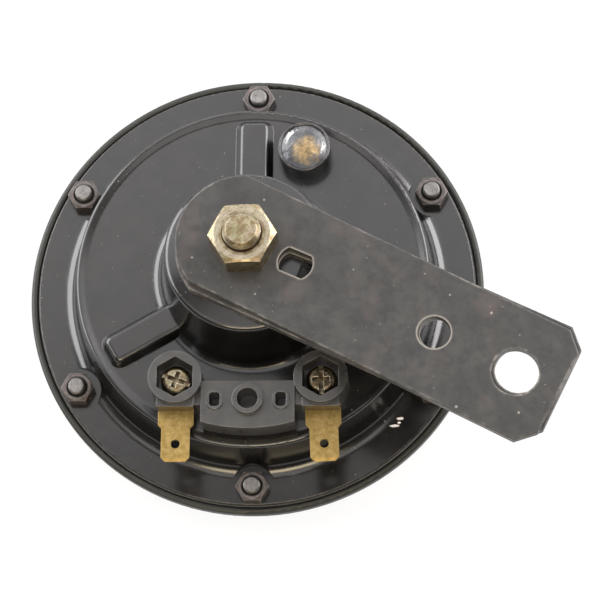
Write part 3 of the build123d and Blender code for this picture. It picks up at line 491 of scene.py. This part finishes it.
finishes = {
    "black_steel": black_paint(),
    "ring_steel": ring_paint(),
    "bracket_steel": bracket_paint(),
    "yellow_zinc": chromated_zinc("chromated_zinc"),
    "grey_steel": plated("bare_steel", *bare_steel, 0.42),
    "rusty_steel": rusty_plating(),
    "brass": plated("brass_strip", *brass_strip, 0.4, dents=0.03 * MM, blotch=1.1 * MM),
    "black_plastic": moulded_plastic(),
    "clear_resin": sealing_resin(),
    "copper": plain_stock("enamelled_wire", *enamel, 0.3, 2 * MM, metal=0.8),
    "fibre": plain_stock("fibre_board", *fibre, 0.7, 1.5 * MM),
    "gasket": plain_stock("gasket_card", *card, 0.85, 1.2 * MM),
    "spring_steel": plain_stock("spring_steel", *spring, 0.32, 3 * MM, 1.0, 0.005 * MM),
    "ceramic": plain_stock("ceramic_body", *ceramic, 0.6, 1 * MM),
}
own_finishes = {
    "mounting_stud": chromated_zinc("stud_end_zinc", dents=0.07 * MM, facets=0.1 * MM),
    "terminal_screws": chromated_zinc("screw_zinc", dents=0.16 * MM, rough=0.14),
    "adjuster_screw": bright_brass(),
}
slot_of = {row["node"]: row["material_slot"] for row in frame["record"]["subparts"]}
for name, piece in nodes.items():
    for holder in piece.material_slots:
        holder.material = own_finishes.get(name) or finishes[slot_of[name]]


# ---------------------------------------------------------------- threads
def threaded_end(name, centre, radius, pitch, low, high, slot):
    """The helical crest of a thread, standing on the plain shank of a stud or screw."""
    turns = (high - low) / pitch
    crest = 0.36 * pitch  # from the middle of its square section to a corner
    sunk = 0.6 * crest  # the middle of the section lies this deep in the shank
    steps_per_turn = 32
    bpy.ops.object.select_all(action="DESELECT")
    bpy.ops.mesh.primitive_circle_add(vertices=4, radius=crest, rotation=(pi / 2, 0, 0))
    piece = bpy.context.object
    piece.name = name
    bpy.ops.object.transform_apply(location=False, rotation=True, scale=False)
    bpy.ops.object.mode_set(mode="EDIT")
    bpy.ops.transform.translate(value=(radius - sunk, 0, 0))
    bpy.ops.object.mode_set(mode="OBJECT")
    helix = piece.modifiers.new("helix", "SCREW")
    helix.axis, helix.angle, helix.screw_offset = "Z", 2 * pi * turns, high - low
    helix.steps = helix.render_steps = round(steps_per_turn * turns)
    bpy.ops.object.modifier_apply(modifier=helix.name)
    bpy.ops.object.mode_set(mode="EDIT")
    bpy.ops.mesh.select_all(action="SELECT")
    bpy.ops.mesh.fill_holes(sides=4)
    bpy.ops.mesh.normals_make_consistent(inside=False)
    bpy.ops.object.mode_set(mode="OBJECT")
    bpy.ops.object.shade_smooth_by_angle(angle=radians(40))
    piece.location = (centre.x, centre.y, low)
    bpy.ops.object.transform_apply(location=True, rotation=False, scale=False)
    piece.data.materials.clear()
    piece.data.materials.append(finishes[slot])
    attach(piece, "root")


threaded_end(
    "stud_thread",
    middle("mounting_stud"),
    STUD_RADIUS,
    STUD_PITCH,
    top("stud_nut") + 0.1 * STUD_PITCH,
    top("mounting_stud") - 0.8 * STUD_PITCH,
    "yellow_zinc",
)


# ---------------------------------------------------------------- stage, light and camera
FLOOR_SIZE = 6
FLOOR_WHITE = 0.9  # how much of a camera's or a mirror's ray sees the floor as plain white
ROOM_LIGHT = 0.08
LAMP_DISTANCE = 1.1
LAMPS = (  # bearing and height in degrees, width, depth, power in watts, tint
    ("overhead", 92, 57, 1.8, 0.78, 7.2, (1.0, 0.985, 0.985)),
    ("over_camera", 270, 77, 1.5, 0.48, 3.3, (1.0, 0.98, 0.97)),
    ("left", 156, 28, 1.1, 0.85, 19.0, (0.98, 0.985, 1.0)),
    ("right", 26, 28, 1.1, 0.85, 22.0, (1.0, 0.985, 0.985)),
    ("back", 90, 18, 1.2, 0.3, 5.0, (1.0, 0.985, 0.98)),
    ("front", 270, 46, 0.8, 0.4, 7.5, (1.0, 0.84, 0.58)),
)
FOCAL_LENGTH, SENSOR_WIDTH = 184.86, 36  # millimetres
NEAREST, FARTHEST = 0.01, 20
EYE = Vector((-4.375, -184.579, 628.06)) * MM
EYE_RIGHT = Vector((0.9980, 0.0124, -0.0620))
EYE_BACK = Vector((0.06284, -0.30397, 0.9506))


def floor():
    bpy.ops.object.select_all(action="DESELECT")
    bpy.ops.mesh.primitive_plane_add(size=FLOOR_SIZE, location=(0, 0, REST_HEIGHT))
    board = bpy.context.object
    board.name = "floor"
    f = Finish("white_floor")
    rays = f.tree.nodes.new("ShaderNodeLightPath")
    seen = Signal(f, rays.outputs["Is Camera Ray"])
    for kind in ("Is Glossy Ray", "Is Transmission Ray"):
        seen = seen.most(Signal(f, rays.outputs[kind]))
    matt = f.node("ShaderNodeBsdfDiffuse", None, {"Color": grey(0.86)})
    white = f.node("ShaderNodeEmission", None, {"Color": grey(1.0), "Strength": 1.0})
    f.show(f.node("ShaderNodeMixShader", None, {0: seen * FLOOR_WHITE, 1: matt, 2: white}))
    board.data.materials.append(f.material)


def softbox(name, angle, height, width, depth, power, tint):
    """A rectangular lamp that hangs round the horn and faces it."""
    light = bpy.data.lights.new(name, "AREA")
    light.shape, light.size, light.size_y = "RECTANGLE", width, depth
    light.energy, light.color = power, tint
    lamp = bpy.data.objects.new(name, light)
    lamp.location = HORN_AXIS + LAMP_DISTANCE * bearing(angle, height)
    lamp.rotation_euler = (HORN_AXIS - lamp.location).to_track_quat("-Z", "Y").to_euler()
    bpy.context.scene.collection.objects.link(lamp)


def room():
    """White where the camera looks past the horn, and a faint light from all sides."""
    world = bpy.data.worlds.new("pale_room")
    bpy.context.scene.world = world
    world.use_nodes = True
    tree = world.node_tree
    tree.nodes.clear()
    paths = tree.nodes.new("ShaderNodeLightPath")
    light = tree.nodes.new("ShaderNodeBackground")
    light.inputs["Color"].default_value = (1, 1, 1, 1)
    light.inputs["Strength"].default_value = ROOM_LIGHT
    white = tree.nodes.new("ShaderNodeBackground")
    white.inputs["Color"].default_value = (1, 1, 1, 1)
    pick = tree.nodes.new("ShaderNodeMixShader")
    output = tree.nodes.new("ShaderNodeOutputWorld")
    tree.links.new(paths.outputs["Is Camera Ray"], pick.inputs[0])
    tree.links.new(light.outputs[0], pick.inputs[1])
    tree.links.new(white.outputs[0], pick.inputs[2])
    tree.links.new(pick.outputs[0], output.inputs["Surface"])


def camera():
    lens = bpy.data.cameras.new("camera")
    lens.lens, lens.sensor_width = FOCAL_LENGTH, SENSOR_WIDTH
    lens.clip_start, lens.clip_end = NEAREST, FARTHEST
    back = EYE_BACK.normalized()
    up = back.cross(EYE_RIGHT.normalized()).normalized()
    right = up.cross(back)
    eye = bpy.data.objects.new("camera", lens)
    turn = Matrix((right, up, back)).transposed().to_4x4()
    eye.matrix_world = Matrix.Translation(EYE) @ turn
    bpy.context.scene.collection.objects.link(eye)
    bpy.context.scene.camera = eye


floor()
for lamp in LAMPS:
    softbox(*lamp)
room()
camera()
bpy.context.scene.view_settings.view_transform = "Standard"
